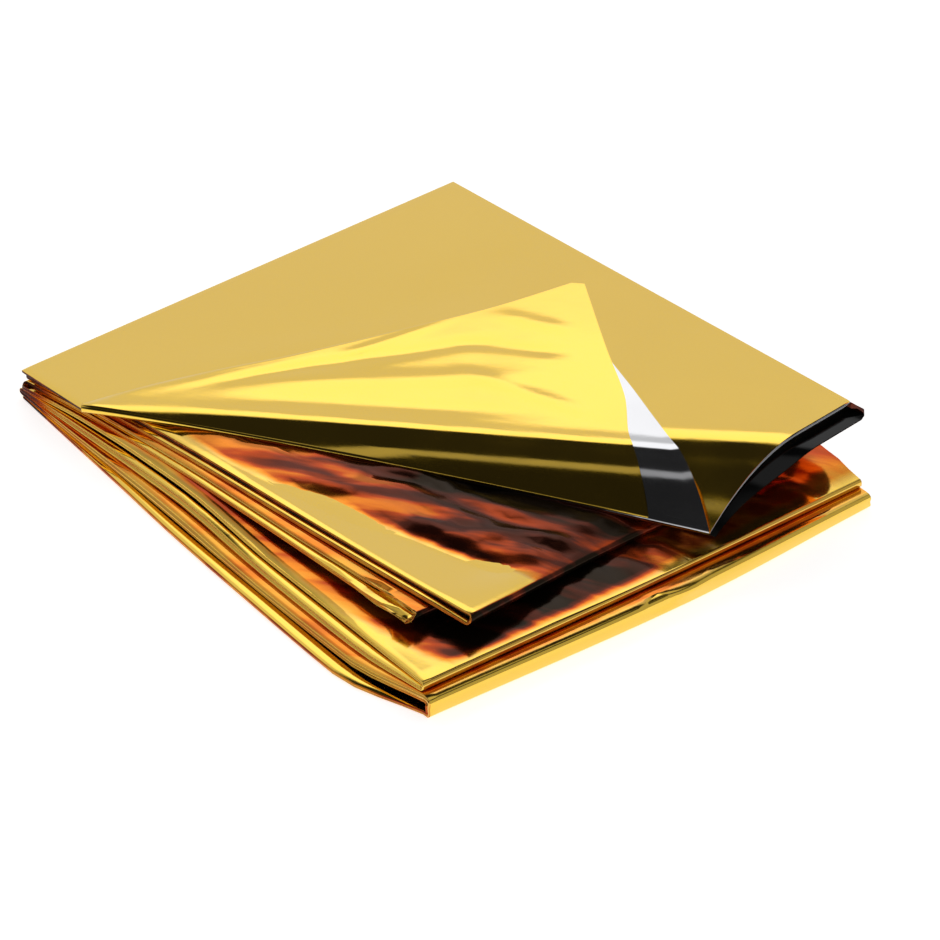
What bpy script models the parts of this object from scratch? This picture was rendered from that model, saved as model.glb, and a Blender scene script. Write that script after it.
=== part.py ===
"""Emergency foil blanket, folded back and forth into a flat packet.

One metallised film sheet, first folded lengthwise into a band, then laid back and forth in nine leaves.
The packet lies flat on its lowest leaf. Its front right-hand part has sprung open: the leaves fan apart, and
the front corner of the top leaf is turned up and back over it as a loose diagonal flap.

Lengths in the tables are millimetres: x runs from the spine to the fore-edge, y from the front side to the
back side, z up. The mesh is built in metres, and its origin ends up at the bottom centre of its box.
"""
import bpy
import bmesh
import numpy as np
from mathutils import Matrix

MM = 0.001

# Driving sizes
LEAF_WIDTH = 200.0          # width of the folded band, front side to back side
SHEET = 1.0                 # thickness of the band of film plies
SIDE_STEPS = 12             # quads across the band
TURN_STEPS = 4              # quads round each fold
BEND_AT = 0.55              # share of the width at which the middle heights and tips are given

# Distances from the spine at which each leaf's table gives its values; a last value is for the leaf's end
STATIONS = (0.0, 35.0, 70.0, 100.0, 150.0, 205.0)

# One row for each leaf that lies below the top one: heights of its middle surface along its front side, its
# middle and its back side, then how far its front side is set back from the packet's front
LEAVES = (
    dict(front=(0.5, 0.5, 0.5, 0.5, 0.5, 0.5, 0.5), middle=(0.5, 0.5, 0.5, 0.5, 0.5, 0.5, 0.5),
         back=(0.5, 0.5, 0.5, 0.5, 0.5, 0.5, 0.5), setback=(0.0, -2.4, -4.6, -6.8, -9.0, -10.6, 0.0)),
    dict(front=(1.9, 2.6, 3.6, 4.2, 3.6, 4.6, 7.4), middle=(2.1, 2.6, 3.2, 3.8, 4.0, 4.6, 7.6),
         back=(2.4, 3.0, 3.5, 3.8, 4.0, 4.4, 5.2), setback=(0.0, -1.0, -1.8, -2.8, -4.2, -4.8, 0.5)),
    dict(front=(3.3, 5.0, 7.2, 8.6, 6.4, 6.8, 9.0), middle=(3.8, 4.8, 6.0, 6.8, 6.6, 7.0, 9.2),
         back=(4.2, 5.5, 6.5, 7.0, 7.4, 7.4, 6.8), setback=(0.0, 1.0, 1.5, 1.5, 0.5, -0.5, 1.0)),
    dict(front=(4.7, 8.0, 10.6, 12.2, 9.0, 9.2, 10.8), middle=(5.4, 7.0, 8.8, 9.8, 9.2, 9.6, 10.8),
         back=(6.1, 8.5, 10.5, 11.5, 12.0, 10.6, 8.6), setback=(0.0, 3.0, 4.0, 4.0, 4.0, 3.5, 2.0)),
    dict(front=(6.1, 9.6, 12.1, 13.8, 14.6, 15.8, 15.9), middle=(7.0, 8.8, 10.6, 11.6, 11.6, 11.5, 11.4),
         back=(8.0, 10.6, 12.8, 14.0, 14.8, 14.6, 13.5), setback=(2.0, 5.0, 7.0, 8.5, 12.0, 14.5, 15.0)),
    dict(front=(7.5, 11.0, 13.5, 15.2, 16.1, 17.5, 17.8), middle=(8.7, 10.4, 12.2, 13.1, 13.2, 13.0, 12.9),
         back=(9.9, 12.5, 14.9, 16.3, 17.6, 18.0, 17.2), setback=(3.0, 6.5, 9.0, 11.0, 14.5, 19.0, 19.5)),
    dict(front=(8.9, 12.4, 14.9, 16.6, 17.6, 19.4, 19.6), middle=(10.3, 12.0, 13.7, 14.6, 14.8, 14.4, 14.1),
         back=(11.7, 14.4, 17.0, 18.8, 21.2, 23.0, 24.0), setback=(4.0, 8.0, 11.5, 14.0, 19.0, 24.5, 28.0)),
    dict(front=(10.3, 13.8, 16.4, 18.1, 19.2, 21.0, 22.2), middle=(12.0, 13.6, 15.3, 16.1, 16.4, 15.9, 15.7),
         back=(13.6, 16.7, 19.8, 22.2, 26.5, 31.0, 33.0), setback=(5.0, 10.0, 13.5, 16.0, 21.0, 26.5, 30.0)),
)

# One row for each pair of leaves joined at the fore-edge: where the fold's outermost line lies
TIPS = (
    dict(front=245.5, middle=249.0, back=244.0),
    dict(front=240.0, middle=241.5, back=238.5),
    dict(front=214.0, middle=212.0, back=208.0),
    dict(front=231.0, middle=221.0, back=227.0),
)

# Outermost line of each fold at the spine, and the free end of the lowest leaf
SPINE_X = (0.0, -1.0, -0.2, -1.2, 0.0)

# Top leaf: a plane that rises from the spine, cut square at its back corner
TOP_LEVEL = 12.0
TOP_RISE_X = 0.102
TOP_RISE_Y = 0.0175
TOP_CORNER_X = 230.5

# Its front corner is turned over along the fold line, from the front side to the fore-edge
FOLD_FRONT = (40.0, 0.0)
FOLD_FORE = (238.0, 130.0)
DROOP_DEPTH = 21.2          # depth of the droop where the fold line meets the fore-edge
DROOP_GROWTH = 1.39         # power by which the depth grows along the fold line
CREST_START = 8.0           # distance from the fold line back to where the leaf begins to bend down
CREST_SPREAD = 0.118
TURN_GAP = 1.6              # clear space inside the turned-over fold
FLAP_GAP = 1.1              # clear space between the flap and the leaf under it

# The flap's two free edges, each from the fold line to its tip, seen from above
FLAP_SIDE = ((40.0, 0.0), (42.0, 9.5), (46.0, 25.0), (54.0, 48.5), (65.0, 74.5), (81.5, 121.5), (91.0, 151.5),
             (97.0, 180.0))
FLAP_END = ((238.0, 130.0), (207.0, 139.0), (174.0, 152.0), (144.0, 165.0), (101.0, 183.0))
FLAP_ROWS = 11

FLAP_SETTLE_ROWS = 3        # rows over which the turn's clear space narrows to the flap's

# Rows of the lower leaves, as shares of the way from the spine to the leaf's end
LEAF_ROWS = (0.0, 0.05, 0.1, 0.16, 0.23, 0.3, 0.37, 0.44, 0.52, 0.61, 0.7, 0.79, 0.87, 0.94, 1.0)

# Rows that fan out over the top leaf: along its back side, then down its fore-edge
FAN_BACK_ROWS = 12
FAN_FORE_ROWS = 8

PROBE = 0.5                 # step over which a slope is read


def smooth(x, xs, values):
    """Read a table of values at x along a smooth curve that doesn't overshoot its points."""
    xs, values = np.asarray(xs, float), np.asarray(values, float)
    step = np.diff(xs)
    slope = np.diff(values) / step
    tangent = np.zeros(len(xs))
    tangent[0], tangent[-1] = slope[0], slope[-1]
    same = slope[:-1] * slope[1:] > 0
    product = 2 * slope[:-1] * slope[1:]
    total = np.where(same, slope[:-1] + slope[1:], 1.0)
    tangent[1:-1] = np.where(same, product / total, 0.0)
    i = np.clip(np.searchsorted(xs, x, side="right") - 1, 0, len(step) - 1)
    t = np.clip((x - xs[i]) / step[i], 0.0, 1.0)
    h = step[i]
    return ((2 * t ** 3 - 3 * t ** 2 + 1) * values[i] + (t ** 3 - 2 * t ** 2 + t) * h * tangent[i]
            + (3 * t ** 2 - 2 * t ** 3) * values[i + 1] + (t ** 3 - t ** 2) * h * tangent[i + 1])


def across(share, front, middle, back):
    """Blend three values given at the front side, the middle and the back side."""
    return smooth(share, (0.0, BEND_AT, 1.0), (front, middle, back))


def leaf_height(leaf, x, share, end_x):
    """Height of a leaf's middle surface at distance x from the spine, on a leaf that ends at end_x."""
    rows = [smooth(x, (*STATIONS, end_x), leaf[side]) for side in ("front", "middle", "back")]
    return across(share, *rows)


def leaf_y(leaf, x, share, end_x):
    """Place between the front side, with its setback, and the back side."""
    setback = smooth(x, (*STATIONS, end_x), leaf["setback"])
    return setback + (LEAF_WIDTH - setback) * share


def leaf_row(leaf, way, shares, ends):
    """One row of points across a leaf, the given share of the way from its start to its end."""
    points = []
    for share, (start, end) in zip(shares, ends):
        x = start + (end - start) * way
        points.append((x, leaf_y(leaf, x, share, end), leaf_height(leaf, x, share, end)))
    return np.array(points)


def turn_rows(below, above, outward):
    """Rows round the half circle that joins the ends of two leaves."""
    centre = (below + above) / 2
    radius = (above[:, 2] - below[:, 2]) / 2
    rows = []
    for k in range(1, TURN_STEPS):
        angle = np.pi * (k / TURN_STEPS - 0.5)
        share = k / TURN_STEPS
        row = below + (above - below) * share
        row[:, 0] = centre[:, 0] + outward * radius * np.cos(angle)
        row[:, 2] = centre[:, 2] + radius * np.sin(angle)
        rows.append(row)
    return rows


def leaf_ends(index, shares):
    """Start and end of each leaf's flat part, allowing for the half circles of its folds."""
    tip = TIPS[index // 2]
    below = LEAVES[index - index % 2]
    above = LEAVES[index - index % 2 + 1]
    start = SPINE_X[(index + 1) // 2] + SHEET / 2
    ends = []
    for share in shares:
        tip_x = across(share, tip["front"], tip["middle"], tip["back"]) - SHEET / 2
        heights = [leaf_height(leaf, tip_x, share, tip_x) for leaf in (below, above)]
        ends.append((start, tip_x - (heights[1] - heights[0]) / 2))
    return ends


def top_plane(x, y):
    """Height of the flat part of the top leaf's middle surface."""
    return TOP_LEVEL + TOP_RISE_X * x + TOP_RISE_Y * y


FOLD_START = np.array(FOLD_FRONT)
FOLD_LENGTH = float(np.hypot(FOLD_FORE[0] - FOLD_FRONT[0], FOLD_FORE[1] - FOLD_FRONT[1]))
FOLD_ALONG = (np.array(FOLD_FORE) - FOLD_START) / FOLD_LENGTH
FOLD_AHEAD = np.array((FOLD_ALONG[1], -FOLD_ALONG[0]))


def top_height(x, y):
    """Height of the top leaf, which droops from its crest down to the fold line."""
    along = (x - FOLD_START[0]) * FOLD_ALONG[0] + (y - FOLD_START[1]) * FOLD_ALONG[1]
    ahead = (x - FOLD_START[0]) * FOLD_AHEAD[0] + (y - FOLD_START[1]) * FOLD_AHEAD[1]
    width = CREST_START + CREST_SPREAD * max(along, 0.0)
    bend = min(max(1.0 + ahead / width, 0.0), 1.0)
    depth = DROOP_DEPTH * (max(along, 0.0) / FOLD_LENGTH) ** DROOP_GROWTH
    return top_plane(x, y) - depth * bend ** 2


def top_normal(x, y):
    """Upward normal of the top leaf at a point, just behind the fold line."""
    back_x, back_y = np.array((x, y)) - FOLD_AHEAD * PROBE
    here = top_height(back_x, back_y)
    rise_x = (top_height(back_x + PROBE, back_y) - here) / PROBE
    rise_y = (top_height(back_x, back_y + PROBE) - here) / PROBE
    normal = np.array((-rise_x, -rise_y, 1.0))
    return normal / np.linalg.norm(normal)


def line_points(points, count):
    """Evenly spaced points along a smooth line through the given ones, ends included."""
    points = np.asarray(points, float)
    length = np.concatenate(([0.0], np.cumsum(np.linalg.norm(np.diff(points, axis=0), axis=1))))
    places = np.linspace(0.0, length[-1], count)
    return np.array([[smooth(place, length, points[:, axis]) for axis in (0, 1)] for place in places])


def fan_rows(shares):
    """Rows of the top leaf, from the spine round to the fold line."""
    spine_x = SPINE_X[-1] + SHEET / 2
    back = np.linspace((spine_x, LEAF_WIDTH), (TOP_CORNER_X, LEAF_WIDTH), FAN_BACK_ROWS + 1)
    fore = np.linspace((TOP_CORNER_X, LEAF_WIDTH), FOLD_FORE, FAN_FORE_ROWS + 1)
    far = np.concatenate((back, fore[1:]))
    near = np.linspace((spine_x, 0.0), FOLD_FRONT, len(far))
    rows = []
    for start, end in zip(near, far):
        plan = start + (end - start) * shares[:, None]
        rows.append(np.array([(x, y, top_height(x, y)) for x, y in plan]))
    return rows


def flap_rows(shares):
    """Rows from the fold line, round its turn and back over the leaf to the flap's blunt tip."""
    side = line_points(FLAP_SIDE, FLAP_ROWS + 1)
    end = line_points(FLAP_END, FLAP_ROWS + 1)
    last = side[0] + (end[0] - side[0]) * shares[:, None]
    rows = []
    for k in range(1, TURN_STEPS + 1):
        angle = np.pi * k / TURN_STEPS
        radius = (SHEET + TURN_GAP) / 2
        row = []
        for x, y in last:
            normal = top_normal(x, y)
            ahead = np.cross(np.array((*FOLD_ALONG, 0.0)), normal)
            ahead /= np.linalg.norm(ahead)
            base = np.array((x, y, top_height(x, y)))
            row.append(base + normal * radius * (1 - np.cos(angle)) + ahead * radius * np.sin(angle))
        rows.append(np.array(row))
    for k in range(1, FLAP_ROWS + 1):
        plan = side[k] + (end[k] - side[k]) * shares[:, None]
        settle = min(k / FLAP_SETTLE_ROWS, 1.0)
        gap = SHEET + TURN_GAP + (FLAP_GAP - TURN_GAP) * settle
        rows.append(np.array([np.array((x, y, top_height(x, y))) + top_normal(x, y) * gap for x, y in plan]))
    return rows


def band_rows():
    """All rows of the band's middle surface, from the lowest leaf's free end to the tip of the flap."""
    shares = np.linspace(0.0, 1.0, SIDE_STEPS + 1)
    rows = []
    for index, leaf in enumerate(LEAVES):
        ends = leaf_ends(index, shares)
        leaf_rows = [leaf_row(leaf, way, shares, ends) for way in LEAF_ROWS]
        outward_bound = index % 2 == 0
        if not outward_bound:
            leaf_rows.reverse()
        if rows:
            rows += turn_rows(rows[-1], leaf_rows[0], -1.0 if outward_bound else 1.0)
        rows += leaf_rows
    top = fan_rows(shares)
    rows += turn_rows(rows[-1], top[0], -1.0)
    return rows + top + flap_rows(shares)


def row_normals(grid):
    """Normal of the band at each point of its grid."""
    along = np.gradient(grid, axis=0)
    over = np.gradient(grid, axis=1)
    normal = np.cross(along, over)
    return normal / np.linalg.norm(normal, axis=2, keepdims=True)


def closed_sheet(name, grid, thickness):
    """A solid sheet of even thickness about a grid of points."""
    normal = row_normals(grid) * thickness / 2
    rows, columns = grid.shape[:2]
    mesh = bmesh.new()
    upper = [[mesh.verts.new(p) for p in row] for row in grid + normal]
    lower = [[mesh.verts.new(p) for p in row] for row in grid - normal]
    for i in range(rows - 1):
        for j in range(columns - 1):
            mesh.faces.new((upper[i][j], upper[i + 1][j], upper[i + 1][j + 1], upper[i][j + 1]))
            mesh.faces.new((lower[i][j], lower[i][j + 1], lower[i + 1][j + 1], lower[i + 1][j]))
    for i in range(rows - 1):
        mesh.faces.new((lower[i][0], lower[i + 1][0], upper[i + 1][0], upper[i][0]))
        mesh.faces.new((upper[i][-1], upper[i + 1][-1], lower[i + 1][-1], lower[i][-1]))
    for j in range(columns - 1):
        mesh.faces.new((upper[0][j], upper[0][j + 1], lower[0][j + 1], lower[0][j]))
        mesh.faces.new((lower[-1][j], lower[-1][j + 1], upper[-1][j + 1], upper[-1][j]))
    bmesh.ops.triangulate(mesh, faces=mesh.faces)
    bmesh.ops.recalc_face_normals(mesh, faces=mesh.faces)
    data = bpy.data.meshes.new(name)
    mesh.to_mesh(data)
    mesh.free()
    return data


def settle_origin(data):
    """Put the mesh's origin at the bottom centre of its box."""
    points = np.array([v.co for v in data.vertices])
    low, high = points.min(axis=0), points.max(axis=0)
    centre = (low + high) / 2
    data.transform(Matrix.Translation((-centre[0], -centre[1], -low[2])))


def foil_material():
    """Gold side of metallised polyester film."""
    material = bpy.data.materials.new("gold_film")
    material.use_nodes = True
    shader = material.node_tree.nodes["Principled BSDF"]
    shader.inputs["Base Color"].default_value = (0.92, 0.62, 0.17, 1.0)
    shader.inputs["Metallic"].default_value = 1.0
    shader.inputs["Roughness"].default_value = 0.22
    return material


def main():
    for item in list(bpy.data.objects):
        bpy.data.objects.remove(item, do_unlink=True)
    grid = np.array(band_rows()) * MM
    data = closed_sheet("foil_blanket", grid, SHEET * MM)
    settle_origin(data)
    data.materials.append(foil_material())
    blanket = bpy.data.objects.new("foil_blanket", data)
    bpy.context.scene.collection.objects.link(blanket)


main()
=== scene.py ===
import math

import bpy
import numpy as np
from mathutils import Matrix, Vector


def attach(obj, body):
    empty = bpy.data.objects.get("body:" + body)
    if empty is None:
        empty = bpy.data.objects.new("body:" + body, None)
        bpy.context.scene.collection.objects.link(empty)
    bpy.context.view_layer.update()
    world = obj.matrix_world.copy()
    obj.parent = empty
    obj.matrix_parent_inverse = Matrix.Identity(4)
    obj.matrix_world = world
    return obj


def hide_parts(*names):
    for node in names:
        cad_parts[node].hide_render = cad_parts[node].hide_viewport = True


# The emergency foil blanket as it lies in the photo: one film sheet of 1.60 x 2.20 m, gold on one side and
# silver on the other, folded lengthwise in eight plies and laid back and forth in nine leaves. The leaves'
# tables are those of the solid. Lengths are millimetres: x from the spine to the fore-edge, y from the front
# side to the back side, z up.

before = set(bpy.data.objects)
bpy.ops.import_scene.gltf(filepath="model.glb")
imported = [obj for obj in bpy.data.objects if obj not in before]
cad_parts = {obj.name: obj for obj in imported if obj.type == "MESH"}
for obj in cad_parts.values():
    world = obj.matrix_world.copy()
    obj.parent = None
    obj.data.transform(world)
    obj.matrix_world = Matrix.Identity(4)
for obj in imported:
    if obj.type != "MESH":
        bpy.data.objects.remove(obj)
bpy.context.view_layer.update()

MM = 0.001
ORIGIN = (123.42, 94.85)    # where the middle of the packet's box lies in the tables

# Film and band
PLIES = 8
LEAF_WIDTH = 200.0
SHEET = 1.0                 # thickness of the solid's band, about whose middle the plies lie
BEND_AT = 0.55              # share of a leaf's width at which its middle height holds

# Points of the mesh
SIDE_STEPS = 56             # quads across an outer ply
INNER_EVERY = 7             # an inner ply has one quad for so many
LIP_STEPS = 4               # quads round the fold between two plies
TURN_STEPS = 8              # quads round the fold between two leaves
EVEN_ROWS = 0.65            # how evenly a leaf's rows are spaced; the rest draws them to its ends

# Height that the plies of a leaf fill
PLY_CLEARANCE = 0.46        # share of the height between two leaves, on either side
OPEN_ROOM = 9.0             # height above the middle leaf
FLOOR_GAP = 0.05            # height below the lowest ply

# The lower leaves, lowest first. At these distances from the spine, and at its end, each has the heights of
# its front side, middle and back side, and how far its front side is set back. It also has its rows of
# points, the most that its plies fill on either side, which of its four front folds is broad, and lips, how
# deep in the folds those four lie, first ply first, which sets their painted reflection and painted shade:
# 0 is plain gold in the open, 0.5 is painted red for the glow of many reflections, 1 is painted dark shade.
# A leaf whose top shows in a gap has an open strip along its front (distance from the spine, width), which
# may tilt back. Behind it lies a band painted with the glow of reflections, and then painted shade, which
# sets in at glow behind the strip. The first pair of edge says where the painted glow sets in behind the
# fore-edge, and the second pair where the painted shade does. shade says how dark the painted glow is
# (distance from the front, depth).
STATIONS = (0.0, 35.0, 70.0, 100.0, 150.0, 205.0)
LEAVES = (
    dict(front=(0.5, 0.5, 0.5, 0.5, 0.5, 0.5, 0.5), middle=(0.5, 0.5, 0.5, 0.5, 0.5, 0.5, 0.5),
         back=(0.5, 0.5, 0.5, 0.5, 0.5, 0.5, 0.5), setback=(0.0, -2.4, -4.6, -6.8, -9.0, -10.6, 0.0),
         rows=22, loft=1.3, broad=3, lips=(0.3, 0.15, 0.25, 0.42)),
    dict(front=(1.9, 2.6, 3.6, 4.2, 3.6, 4.6, 7.4), middle=(2.1, 2.6, 3.2, 3.8, 4.0, 4.6, 7.6),
         back=(2.4, 3.0, 3.5, 3.8, 4.0, 4.4, 5.2), setback=(0.0, -1.0, -1.8, -2.8, -4.2, -4.8, 0.5),
         rows=24, loft=2.0, broad=1, lips=(0.05, 0.2, 0.0, 0.2)),
    dict(front=(3.3, 5.0, 7.2, 8.6, 6.4, 6.8, 9.0), middle=(3.8, 4.8, 6.0, 6.8, 6.6, 7.0, 9.2),
         back=(4.2, 5.5, 6.5, 7.0, 7.4, 7.4, 6.8), setback=(0.0, 1.0, 1.5, 1.5, 0.5, -0.5, 1.0),
         rows=22, loft=1.6, broad=0, lips=(0.05, 0.2, 0.1, 0.0)),
    dict(front=(4.7, 8.0, 10.6, 12.2, 9.0, 9.2, 10.8), middle=(5.4, 7.0, 8.8, 9.8, 9.2, 9.6, 10.8),
         back=(6.1, 8.5, 10.5, 11.5, 12.0, 10.6, 8.6), setback=(0.0, 3.0, 4.0, 4.0, 4.0, 3.5, 2.0),
         rows=30, loft=0.9, broad=2, lips=(0.0, 0.2, 0.05, 0.3),
         strip=((0.0, 0.3), (150.0, 0.3), (185.0, 1.0), (205.0, 5.0), (229.0, 9.0), (245.0, 12.0)), tilt=0.0,
         glow=14.0, edge=(1.5, 3.0, 26.0, 40.0),
         shade=((0.0, 0.45), (14.0, 0.48), (24.0, 0.95), (70.0, 0.95), (95.0, 0.75), (120.0, 0.5),
                (150.0, 0.42), (200.0, 0.4))),
    dict(front=(6.1, 9.6, 12.1, 13.8, 14.6, 15.8, 15.9), middle=(7.0, 8.8, 10.6, 11.6, 11.6, 11.5, 11.4),
         back=(8.0, 10.6, 12.8, 14.0, 14.8, 14.6, 13.5), setback=(2.0, 5.0, 7.0, 8.5, 12.0, 14.5, 15.0),
         rows=22, loft=0.9, broad=1, lips=(0.1, 0.3, 0.15, 0.3)),
    dict(front=(7.5, 11.0, 13.5, 15.2, 16.1, 17.5, 17.8), middle=(8.7, 10.4, 12.2, 13.1, 13.2, 13.0, 12.9),
         back=(9.9, 12.5, 14.9, 16.3, 17.6, 18.0, 17.2), setback=(3.0, 6.5, 9.0, 11.0, 14.5, 19.0, 19.5),
         rows=24, loft=0.9, broad=2, lips=(0.2, 0.35, 0.15, 0.25)),
    dict(front=(8.9, 12.4, 14.9, 16.6, 17.6, 19.4, 18.6), middle=(10.3, 12.0, 13.7, 14.6, 14.8, 14.4, 11.4),
         back=(11.7, 14.4, 17.0, 18.8, 21.2, 23.0, 22.6), setback=(4.0, 8.0, 11.5, 14.0, 19.0, 24.5, 28.0),
         rows=24, loft=0.8, broad=0, lips=(0.35, 0.2, 0.3, 0.9)),
    dict(front=(10.3, 13.8, 16.4, 18.1, 19.2, 21.0, 21.4), middle=(12.0, 13.6, 15.3, 16.1, 16.4, 15.9, 14.6),
         back=(13.6, 16.7, 19.8, 22.2, 26.5, 31.0, 33.0), setback=(5.0, 10.0, 13.5, 16.0, 21.0, 26.5, 30.0),
         rows=56, loft=0.7, broad=3, lips=(0.0, 0.9, 0.3, 0.85),
         strip=((40.0, 2.0), (91.0, 3.0), (117.0, 6.5), (145.0, 15.0), (170.0, 20.0), (195.0, 27.0),
                (217.0, 37.0)), tilt=0.07,
         glow=24.0, edge=(-3.0, -1.0, 1.0, 3.0),
         shade=((0.0, 0.46), (20.0, 0.54), (50.0, 0.66), (200.0, 0.74))),
)
GLOW_START = 4.0            # over this distance behind the strip the glow sets in
TILT_PIVOT = 5.0            # a strip tilts about a line this far behind its front
TILT_START = 2.0            # distance from the fore-edge at which the tilt sets in
TILT_END = 20.0             # and over which it grows there and levels out behind the strip

# Folds at the fore-edge, lowest first: outermost line, how square the nose is (1 is round), how deep its
# groove is, and how deep in the folds it lies, which sets its painted shade
TIPS = (
    dict(front=245.5, middle=249.0, back=244.0, nose=0.45, groove=0.5, depth=0.0),
    dict(front=240.0, middle=241.5, back=238.5, nose=0.7, groove=0.2, depth=0.1),
    dict(front=214.0, middle=212.0, back=208.0, nose=0.8, groove=0.0, depth=0.8),
    dict(front=231.0, middle=221.0, back=227.0, nose=0.9, groove=0.0, depth=0.97),
)
NICK_Y = 99.0               # nick in the lowest of them
NICK_WIDTH = 3.6
NICK_DEPTH = 2.6
NICK_BULGE = 0.9            # how far the film beside it stands out
SPINE_X = (0.0, -1.0, -0.2, -1.2, 0.0)  # outermost line of each fold at the spine

# Top leaf
TOP_LEVEL = 12.0            # its height at the front of the spine, and its rise for each millimetre
TOP_RISE_X = 0.102
TOP_RISE_Y = 0.0175
TOP_CORNER_X = 230.5        # its back right corner
TOP_LOFT = 0.45             # what its plies fill on either side
TOP_BROAD = 0               # which of its four front folds is broad

# Folds between the plies
BROAD_LIP = 4.0             # width of a leaf's broad one against that of the others
LIP_SPACE = 0.3             # and of the spaces between them
LIP_NOSE = 0.7              # how square they are
LIP_LEAN = 0.5              # how far a fold's nose leans back towards its top
# The depths below set the gold's painted glow and painted shade
TOP_LIPS = (0.95, 0.9, 0.6, 0.05)   # depth of those of the top leaf
HIDDEN_DEPTH = 0.5          # depth of the folds at the spine and of the top leaf's underside
BETWEEN_DEPTH = 0.3         # depth of the lower leaves' faces, of which a little shows between the folds

# Added depth of the front folds near the spine, which deepens their painted shade, the distance up to which
# it is full and that at which it ends: for the lower leaves and for the middle leaf
SPINE_SHADE = ((1.0, 3.0, 22.0), (0.9, 26.0, 52.0))

# Unevenness of the short bundle's front folds near their end: size, waves (turn for each row, start), and
# where they set in
RAGGED = 0.7
RAGGED_WAVES = ((2.1, 0.0), (1.3, 1.0))
RAGGED_FROM = (175.0, 200.0)
BUNDLE = (4, 5)             # its leaves

# Cut end of the top leaf: the lower plies have slipped out from under the upper ones and hang down
SLIPPED_PLIES = 5
SLIP_REACH = 8.0
SLIP_DROP = 4.6
SLIP_FROM = 0.93            # share of the width from which a ply gives
SLIP_LEAD = 4               # rows before the cut end over which this sets in
SLIP_EASE = 0.75            # how much of it is gone at the fold line
# A slipped ply is painted with shade by how far it has slipped
SLIP_SHADE = (0.05, 0.2)    # slip at which a ply comes into the dark, and at which it is in it
EDGE_PLY = 5                # the ply above them hangs a little, so the fold at its edge shows
EDGE_GAP = 1.1
LOOSE_FOLDS = (1, 3)        # plies whose fold to the next one isn't there at the cut end
SILVER_PLIES = (1, 2, 4)    # plies whose silver side faces out there and on the turned-over corner
SILVER_LEAD = 4             # rows before the cut end from which it does

# Its turned-over corner
FOLD_FRONT = (40.0, 0.0)    # ends of the fold line at the front side and at the fore-edge
FOLD_FORE = (238.0, 130.0)
FOLD_START = np.array(FOLD_FRONT)
FOLD_LENGTH = float(np.hypot(FOLD_FORE[0] - FOLD_FRONT[0], FOLD_FORE[1] - FOLD_FRONT[1]))
FOLD_ALONG = (np.array(FOLD_FORE) - FOLD_START) / FOLD_LENGTH
FOLD_AHEAD = np.array((FOLD_ALONG[1], -FOLD_ALONG[0]))  # square to it, away from the leaf
DROOP_DEPTH = 21.2          # how far the leaf comes down at the fore-edge
DROOP_GROWTH = 1.39         # power by which that grows along the fold line
CREST_START = 8.0           # distance of the leaf's crest from the fold line at its start
CREST_SPREAD = 0.118        # and what it gains for each millimetre along it
FLAP_CREST = 0.58           # width of the flap's bend against the leaf's, over which it stands off
TURN_GAP = 1.6              # height left free in its turn, and between it and the leaf behind that
FLAP_GAP = 1.1
# Outlines of the corner on the plan, from the fold line to its blunt tip: of its side, its end and its outer
# ply's end
FLAP_SIDE = ((40.0, 0.0), (42.0, 9.5), (46.0, 25.0), (54.0, 48.5), (65.0, 74.5), (81.5, 121.5),
             (91.0, 151.5), (97.0, 180.0))
FLAP_END = ((238.0, 130.0), (207.0, 137.0), (172.0, 148.5), (137.0, 160.5), (100.0, 181.0))
FLAP_OUTER_END = ((219.0, 118.0), (197.0, 127.0), (174.0, 143.0), (144.0, 159.0), (101.0, 183.0))
FLAP_ROWS = 52
FLAP_SETTLE = 0.22          # share of its rows over which its height above the leaf settles
FLAP_LIFT = 0.09            # its rise over the leaf for each millimetre behind a line at LIFT_FROM crests,
LIFT_FROM = 0.7             # towards the photo's camera, which so sees no change of its outline
FAN_BACK_ROWS = 44          # the top leaf's rows end at the back side, and then at the fore-edge
FAN_FORE_ROWS = 26
PROBE = 0.5                 # step by which slopes are measured

# Creases pressed or pulled into the top leaf and its turned-over corner, on the plan: from, to, half width
# and height (below nought is a trough)
CREASES = (
    dict(part="flap", start=(52.0, 30.0), end=(118.0, 150.0), width=4.0, height=-0.35),
    dict(part="flap", start=(60.0, 40.0), end=(150.0, 140.0), width=6.0, height=0.35),
    dict(part="flap", start=(58.0, 28.0), end=(168.0, 118.0), width=5.0, height=-0.3),
    dict(part="flap", start=(95.0, 120.0), end=(140.0, 150.0), width=3.0, height=-0.35),
    dict(part="flap", start=(90.0, 145.0), end=(128.0, 160.0), width=3.0, height=0.3),
    dict(part="flap", start=(44.0, 14.0), end=(78.0, 88.0), width=2.6, height=0.16),
    dict(part="flap", start=(62.0, 50.0), end=(92.0, 112.0), width=2.6, height=-0.14),
    dict(part="flap", start=(76.0, 70.0), end=(88.0, 140.0), width=2.6, height=0.14),
    dict(part="flap", start=(110.0, 110.0), end=(180.0, 128.0), width=3.0, height=0.3),
    dict(part="top", start=(30.0, 20.0), end=(110.0, 190.0), width=9.0, height=0.12),
    dict(part="top", start=(70.0, 120.0), end=(60.0, 200.0), width=12.0, height=-0.15),
)
CREASE_FADE = 0.35          # share of its length over which a crease fades at either end

# Crinkled film: waves in several directions, each with its length across and its height
CRINKLE_WAVES = 8
CRINKLE_LENGTH = (7.0, 16.0)
CRINKLE_BEND = 2.0          # how wavy their ridges may be
CRINKLE_HEIGHT = 0.7
CRINKLE_FROM = (30.0, 60.0)  # distances from the spine over which the crinkles set in
CRINKLE_DEPTH = 0.3         # depth in the folds at which they are full
CRINKLE_GROWTH = 12.0       # distance from an open strip and from the fore-edge over which they grow
CRINKLE_TURN = (1.75, 2.6)  # range of their directions, from x: the ridges lie about along the fold line
CRINKLE_SEED = 7
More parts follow.
